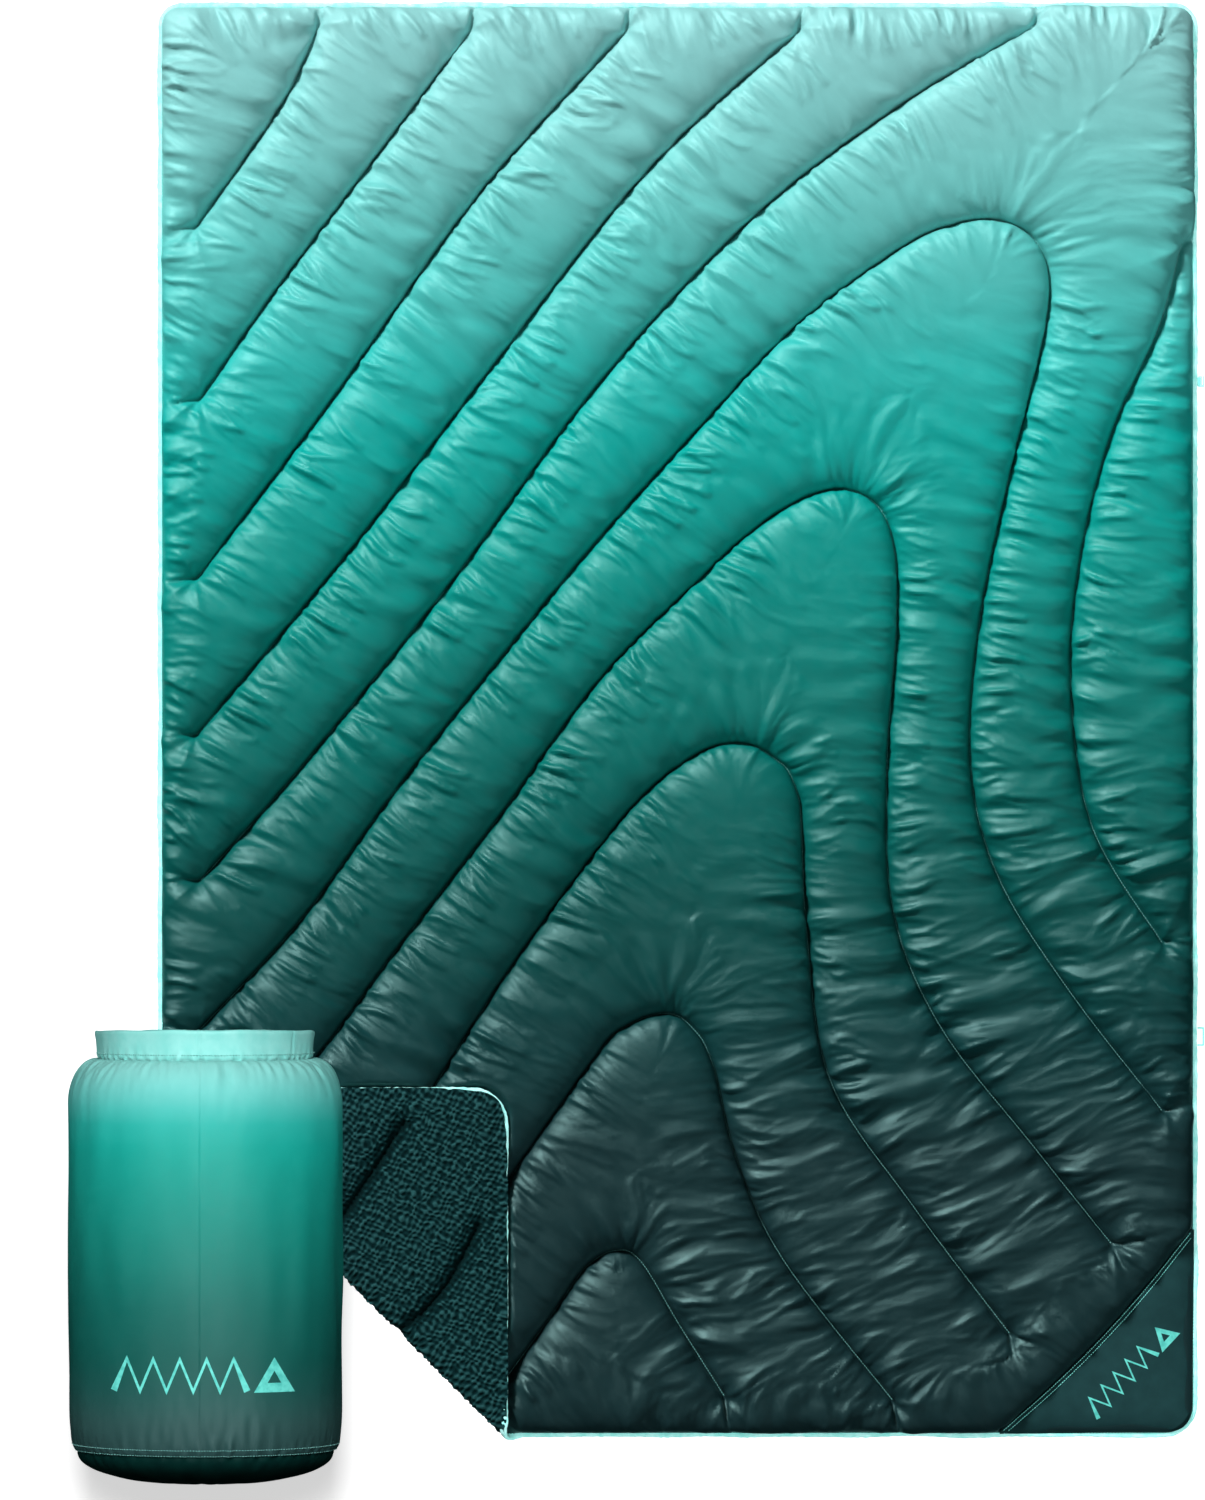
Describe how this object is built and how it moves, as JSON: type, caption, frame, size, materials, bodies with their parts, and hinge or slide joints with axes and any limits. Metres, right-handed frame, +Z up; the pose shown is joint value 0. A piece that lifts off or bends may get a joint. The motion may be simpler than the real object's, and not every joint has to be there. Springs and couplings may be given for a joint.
{
  "type": "camp blanket",
  "caption": "Quilted puffy camp blanket laid flat with one corner folded over to its fleece back, with a bound edge, a clip, a loop and a round stuff sack lying on the fold.",
  "frame": {"origin": "middle of the blanket's underside as cut, on the floor", "axes": "+X across the blanket, +Y along it towards the head end, away from the folded corner, +Z up out of the quilted face"},
  "size_m": [1.446, 1.8825, 0.3404],
  "materials": {
    "face_cloth": "satin",
    "fleece": "matte",
    "insulation": "matte",
    "binding_tape": "satin",
    "quilting_thread": "satin",
    "edge_thread": "satin",
    "patch_cloth": "satin",
    "print": "satin",
    "tab_webbing": "matte",
    "clip_plastic": "satin",
    "loop_cord": "matte",
    "sack_cloth": "satin",
    "sack_base_cloth": "satin",
    "sack_collar_cloth": "satin"
  },
  "bodies": {
    "blanket": {"fleece_backing": "fleece", "insulation_batt": "insulation", "face_shell": "face_cloth", "edge_binding": "binding_tape", "binding_stitch": "edge_thread", "quilt_stitch_1": "quilting_thread", "quilt_stitch_2": "quilting_thread", "quilt_stitch_3": "quilting_thread", "quilt_stitch_4": "quilting_thread", "quilt_stitch_5": "quilting_thread", "quilt_stitch_6": "quilting_thread", "quilt_stitch_7": "quilting_thread", "quilt_stitch_8": "quilting_thread", "quilt_stitch_9": "quilting_thread", "quilt_stitch_10": "quilting_thread", "quilt_stitch_11": "quilting_thread", "corner_patch": "patch_cloth", "patch_stitch": "quilting_thread", "patch_mark": "print", "clip_tab": "tab_webbing"},
    "clip": {"cape_clip": "clip_plastic"},
    "loop": {"edge_loop": "loop_cord"},
    "sack": {"sack_body": "sack_cloth", "sack_base": "sack_base_cloth", "sack_collar": "sack_collar_cloth", "sack_dust_flap": "sack_cloth", "sack_filling": "insulation", "sack_side_seam": "sack_cloth", "sack_base_stitch": "quilting_thread", "sack_collar_stitch": "quilting_thread", "sack_mark": "print"}
  },
  "joints": [
    {"name": "sack_lift", "type": "slide", "parent": "blanket", "child": "sack", "axis": [0, 0, 1], "range_m": [0, 0.4]},
    {"name": "clip_swing", "type": "hinge", "parent": "blanket", "child": "clip", "pos_m": [0.6674, 0.433, 0.003], "axis": [0, -1, 0], "range_deg": [0, 90]},
    {"name": "loop_swing", "type": "hinge", "parent": "blanket", "child": "loop", "pos_m": [0.6664, -0.405, 0.003], "axis": [0, -1, 0], "range_deg": [0, 90]}
  ]
}
